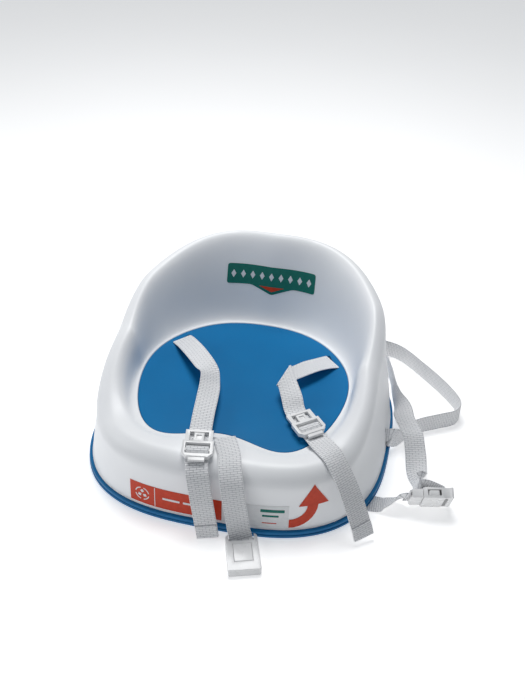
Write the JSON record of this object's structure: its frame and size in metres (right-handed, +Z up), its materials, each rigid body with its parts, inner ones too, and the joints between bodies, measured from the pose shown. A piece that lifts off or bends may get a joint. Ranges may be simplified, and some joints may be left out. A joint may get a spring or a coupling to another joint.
{
  "type": "booster seat",
  "caption": "Soft foam toddler booster seat with a raised back and arms, an inset seat pad, a rigid tray base, a lap and crotch harness, and webbing straps that tie it to a chair.",
  "frame": {"origin": "centre of the footprint, on the surface it stands on", "axes": "+Z up, the child faces -Y, +X to the right when seen from the front"},
  "size_m": [0.4446, 0.4383, 0.1931],
  "materials": {
    "foam_skin": "satin white integral-skin polyurethane foam",
    "pad": "matte blue soft foam",
    "tray": "satin blue",
    "grip": "matte blue thermoplastic rubber",
    "frame": "matte grey",
    "steel": "zinc plated",
    "webbing": "woven white polyester",
    "buckle": "gloss white acetal"
  },
  "bodies": {
    "seat": {"foam_shell": "foam_skin", "seat_pad": "pad", "inner_frame": "frame", "base_tray": "tray", "grip_ring": "grip", "base_screws": "steel", "lap_anchor_bar_left": "steel", "lap_anchor_bar_right": "steel", "crotch_anchor_bar": "steel", "chair_anchor_bars": "steel", "lap_tether_left": "webbing", "lap_tether_right": "webbing", "crotch_tether": "webbing", "chair_strap_loop": "webbing", "chair_strap_long": "webbing", "chair_strap_short": "webbing", "chair_clip_male": "buckle", "chair_clip_female": "buckle"},
    "lap_belt_left": {"lap_strap_left": "webbing"},
    "lap_belt_right": {"lap_strap_right": "webbing"},
    "lap_tongue_left": {"lap_tongue_left": "buckle"},
    "lap_tongue_right": {"lap_tongue_right": "buckle"},
    "crotch_belt": {"crotch_strap": "webbing"},
    "crotch_buckle": {"crotch_buckle_body": "buckle", "crotch_buckle_cover": "buckle", "crotch_button_spring": "steel"},
    "crotch_button": {"crotch_button": "buckle"},
    "clip_prong_upper": {"chair_clip_prong_upper": "buckle"},
    "clip_prong_lower": {"chair_clip_prong_lower": "buckle"}
  },
  "joints": [
    {"name": "lap_left_swing", "type": "hinge", "parent": "seat", "child": "lap_belt_left", "pos_m": [-0.097, 0.052, 0.0815], "axis": [-0.5101, -0.8601, 0], "range_deg": [0, 60]},
    {"name": "lap_right_swing", "type": "hinge", "parent": "seat", "child": "lap_belt_right", "pos_m": [0.097, 0.052, 0.0815], "axis": [-0.5101, 0.8601, 0], "range_deg": [0, 60]},
    {"name": "left_tongue_slide", "type": "slide", "parent": "lap_belt_left", "child": "lap_tongue_left", "axis": [-0.1685, 0.9758, 0.1392], "range_m": [0, 0.02]},
    {"name": "right_tongue_slide", "type": "slide", "parent": "lap_belt_right", "child": "lap_tongue_right", "axis": [-0.6428, 0.766, 0], "range_m": [0, 0.004]},
    {"name": "crotch_swing", "type": "hinge", "parent": "seat", "child": "crotch_belt", "pos_m": [0.0046, -0.119, 0.0868], "axis": [-1, 0, 0], "range_deg": [0, 90]},
    {"name": "crotch_buckle_tilt", "type": "hinge", "parent": "crotch_belt", "child": "crotch_buckle", "pos_m": [0.04163, -0.18873, 0.005], "axis": [-0.9455, -0.3256, 0], "range_deg": [0, 45]},
    {"name": "crotch_button_press", "type": "slide", "parent": "crotch_buckle", "child": "crotch_button", "axis": [0, 0, -1], "range_m": [0, 0.002], "stiffness_N_per_m": 600, "springref_m": -0.001, "deforming": ["crotch_button_spring"]},
    {"name": "clip_upper_squeeze", "type": "slide", "parent": "seat", "child": "clip_prong_upper", "axis": [-0.1016, 0.4264, -0.8988], "range_m": [0, 0.002], "stiffness_N_per_m": 600, "springref_m": -0.001},
    {"name": "clip_lower_squeeze", "type": "slide", "parent": "seat", "child": "clip_prong_lower", "axis": [0.1016, -0.4264, 0.8988], "range_m": [0, 0.002], "stiffness_N_per_m": 600, "springref_m": -0.001}
  ],
  "couplings": [
    {"joint": "clip_lower_squeeze", "follows": "clip_upper_squeeze", "ratio": 1}
  ]
}
